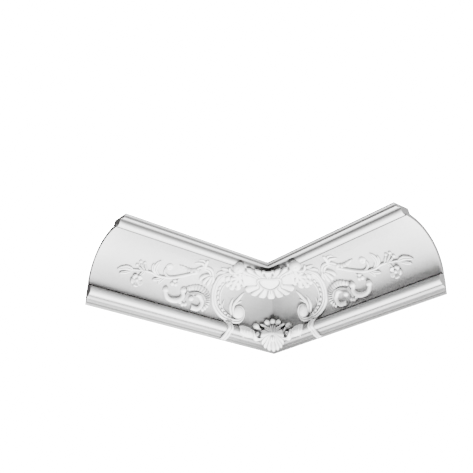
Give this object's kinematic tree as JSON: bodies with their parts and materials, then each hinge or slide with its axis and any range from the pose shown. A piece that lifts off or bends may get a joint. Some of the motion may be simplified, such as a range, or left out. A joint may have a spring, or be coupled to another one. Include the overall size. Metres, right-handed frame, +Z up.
{
  "type": "cornice inside-corner element",
  "caption": "Inside-corner element of a coved ceiling cornice, with carved scrolls, leafy branches and a shell cast over its mitre.",
  "frame": {"origin": "the room corner at the lower edge: both walls and the lower edge meet there", "axes": "+Z up to the ceiling; the right leg runs along +X on the wall y = 0, the left leg along -Y on the wall x = 0"},
  "size_m": [0.49, 0.49, 0.15],
  "materials": {
    "primed_white": "matte white primer"
  },
  "bodies": {
    "root": {"corner_moulding": "primed_white"}
  },
  "joints": []
}
